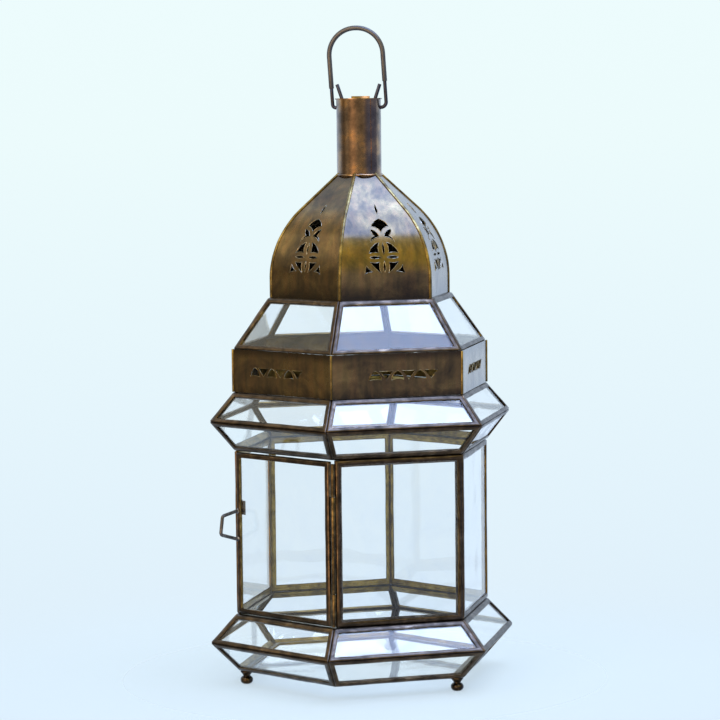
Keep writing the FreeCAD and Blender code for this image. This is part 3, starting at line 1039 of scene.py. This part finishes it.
def floor_disc():
    """A pale floor under the lantern that fades out before it can draw a horizon."""
    material, tree = new_finish("pale_floor")
    place = add(tree, "ShaderNodeTexCoord").outputs["Object"]
    reach = add(tree, "ShaderNodeVectorMath", {"operation": "LENGTH"}, {0: place})
    fade = add(
        tree,
        "ShaderNodeMapRange",
        {"interpolation_type": "SMOOTHSTEP", "From Max": 0.5, "To Min": 0.55},
        {"Value": reach.outputs["Value"]},
    )
    paint = add(
        tree,
        "ShaderNodeBsdfPrincipled",
        {"Base Color": colour("#cfdeed"), "Roughness": 0.9, "Specular IOR Level": 0.1},
    )
    gone = add(tree, "ShaderNodeBsdfTransparent")
    both = add(
        tree,
        "ShaderNodeMixShader",
        links={0: fade.outputs[0], 1: paint.outputs[0], 2: gone.outputs[0]},
    )
    surface(tree, both.outputs[0])
    put_down()
    bpy.ops.mesh.primitive_circle_add(vertices=96, radius=1.0, fill_type="NGON")
    disc = bpy.context.object
    disc.name = "floor"
    disc.data.materials.append(material)


def surroundings(azimuth):
    """Pale backdrop and open shade.  What metal and glass mirror is a blue overcast
    overhead, a warm dark room in front and the pale backdrop behind."""
    world = bpy.data.worlds.new("studio")
    world.use_nodes = True
    tree = world.node_tree
    tree.nodes.clear()
    bpy.context.scene.world = world
    direction = add(tree, "ShaderNodeTexCoord").outputs["Generated"]
    parts = add(tree, "ShaderNodeSeparateXYZ", links={0: direction})
    up = parts.outputs["Z"]
    lift = add(tree, "ShaderNodeMapRange", {"From Min": -0.22, "From Max": 0.04}, {"Value": up})
    paper = add(
        tree,
        "ShaderNodeValToRGB",
        {"stops": [(0.0, "#dcedfb"), (0.45, "#e5f5fc"), (0.8, "#ecfbfc"), (1.0, "#edfcfd")]},
        {"Fac": lift.outputs[0]},
    )
    seen = add(tree, "ShaderNodeBackground", {"Strength": 1.0}, {"Color": paper.outputs["Color"]})
    # Roofline: higher on the left of the door than on the right.
    roofline = add(
        tree,
        "ShaderNodeMath",
        {"operation": "MULTIPLY_ADD", 1: 0.28},
        {0: parts.outputs["X"], 2: up},
    )

    def towards(turn, low, high):
        """How near a direction is to a horizontal one."""
        aim = (math.sin(turn), -math.cos(turn), 0)
        ahead = add(
            tree, "ShaderNodeVectorMath", {"operation": "DOT_PRODUCT", 1: aim}, {0: direction}
        )
        return add(
            tree,
            "ShaderNodeMapRange",
            {"interpolation_type": "SMOOTHSTEP", "From Min": low, "From Max": high},
            {"Value": ahead.outputs["Value"]},
        ).outputs[0]

    def mixed(fac, below, above, kind="MIX"):
        """Mixes two colours, each given as an output or as a hex code."""
        node = add(tree, "ShaderNodeMix", {"data_type": "RGBA", "blend_type": kind})
        for socket, value in ((0, fac), (6, below), (7, above)):
            if isinstance(value, str):
                node.inputs[socket].default_value = colour(value)
            elif isinstance(value, float):
                node.inputs[socket].default_value = value
            else:
                tree.links.new(value, node.inputs[socket])
        return node.outputs[2]

    # The room in front: browns with brighter patches, darker low down and greenish gold
    # under the roofline.
    patches = add(tree, "ShaderNodeTexNoise", {"Scale": 2.6, "Detail": 3.0}, {"Vector": direction})
    room = add(
        tree,
        "ShaderNodeValToRGB",
        {"stops": [(0.32, "#453d31"), (0.48, "#8f8268"), (0.62, "#dccfae")]},
        {"Fac": patches.outputs["Fac"]},
    )
    rising = add(
        tree,
        "ShaderNodeValToRGB",
        {
            "stops": [
                (0.0, "#978f88"),
                (0.3, "#c4beb6"),
                (0.5, "#cfc7ba"),
                (0.66, "#ffe99c"),
                (0.84, "#fff07c"),
            ]
        },
        {"Fac": roofline.outputs[0]},
    )
    warm = mixed(1.0, room.outputs["Color"], rising.outputs["Color"], "MULTIPLY")
    # A cool shaded corner, sunlit leaves high up, the pale backdrop behind the lantern, and
    # one warm window low in front.
    cool = mixed(towards(math.radians(118), 0.55, 0.9), warm, "#3c435c")
    high_up = add(
        tree,
        "ShaderNodeMapRange",
        {"interpolation_type": "SMOOTHSTEP", "From Min": 0.35, "From Max": 0.62},
        {"Value": roofline.outputs[0]},
    )
    leaves = add(
        tree,
        "ShaderNodeMath",
        {"operation": "MULTIPLY"},
        {0: high_up.outputs[0], 1: towards(math.radians(77), 0.45, 0.75)},
    )
    leafy = mixed(leaves.outputs[0], cool, "#a08f44")
    level = mixed(towards(azimuth + math.pi, 0.15, 0.5), leafy, "#747f8d")
    window_glow = towards(math.radians(12), 0.91, 0.98)
    window = mixed(window_glow, level, "#ffc890")
    strength = add(
        tree,
        "ShaderNodeMapRange",
        {"To Min": 4.2, "To Max": 4.8},
        {"Value": window_glow},
    )
    low = add(
        tree, "ShaderNodeBackground", links={"Color": window, "Strength": strength.outputs[0]}
    )
    clouds = add(tree, "ShaderNodeTexNoise", {"Scale": 4.0, "Detail": 3.0}, {"Vector": direction})
    sky = add(
        tree,
        "ShaderNodeValToRGB",
        {"stops": [(0.38, "#5c7fc8"), (0.50, "#7b9fe6"), (0.64, "#adc6f0")]},
        {"Fac": clouds.outputs["Fac"]},
    )
    high = add(tree, "ShaderNodeBackground", {"Strength": 8.5}, {"Color": sky.outputs["Color"]})
    overhead = add(
        tree,
        "ShaderNodeMapRange",
        {"interpolation_type": "SMOOTHSTEP", "From Min": 0.90, "From Max": 0.945},
        {"Value": roofline.outputs[0]},
    )
    mirrored = add(
        tree,
        "ShaderNodeMixShader",
        links={0: overhead.outputs[0], 1: low.outputs[0], 2: high.outputs[0]},
    )
    rays = add(tree, "ShaderNodeLightPath")
    bounced = add(
        tree,
        "ShaderNodeMath",
        {"operation": "MULTIPLY"},
        {0: rays.outputs["Is Reflection Ray"], 1: rays.outputs["Is Glossy Ray"]},
    )
    both = add(
        tree,
        "ShaderNodeMixShader",
        links={0: bounced.outputs[0], 1: seen.outputs[0], 2: mirrored.outputs[0]},
    )
    add(tree, "ShaderNodeOutputWorld", links={"Surface": both.outputs[0]})


def soft_lamp(name, azimuth, elevation, distance, size, power, code):
    """A square soft box that faces the lantern's middle."""
    target = Vector((0, 0, 0.25))
    outwards = Vector(
        (
            math.sin(azimuth) * math.cos(elevation),
            -math.cos(azimuth) * math.cos(elevation),
            math.sin(elevation),
        )
    )
    lamp = bpy.data.lights.new(name, "AREA")
    lamp.shape = "SQUARE"
    lamp.size = size
    lamp.energy = power
    lamp.color = colour(code)[:3]
    holder = bpy.data.objects.new(name, lamp)
    holder.location = target + outwards * distance
    holder.rotation_euler = outwards.to_track_quat("Z", "Y").to_euler()
    bpy.context.scene.collection.objects.link(holder)


def camera(azimuth, pan, distance, height, pitch, roll, lens):
    """The camera looks down a little at the lantern from its right front."""
    eye = bpy.data.cameras.new("camera")
    eye.lens = lens
    eye.sensor_width = 36
    eye.clip_end = 50
    holder = bpy.data.objects.new("camera", eye)
    turn = Matrix.Rotation(azimuth + pan, 4, "Z")
    tilt = Matrix.Rotation(math.radians(90) - pitch, 4, "X")
    bank = Matrix.Rotation(-roll, 4, "Z")
    place = Vector((distance * math.sin(azimuth), -distance * math.cos(azimuth), height))
    holder.matrix_world = Matrix.Translation(place) @ turn @ tilt @ bank
    bpy.context.scene.collection.objects.link(holder)
    bpy.context.scene.camera = holder


view_azimuth = math.radians(42.63)
floor_disc()
surroundings(view_azimuth)
soft_lamp("key_box", math.radians(5), math.radians(30), 1.9, 1.0, 12, "#ffe9cc")
soft_lamp("top_box", math.radians(110), math.radians(70), 1.6, 1.2, 14, "#dfe8ff")
camera(
    view_azimuth,
    pan=0.000456,
    distance=2.2279,
    height=0.43704,
    pitch=0.0872,
    roll=0.0108,
    lens=147.33,
)
bpy.context.scene.view_settings.view_transform = "Standard"
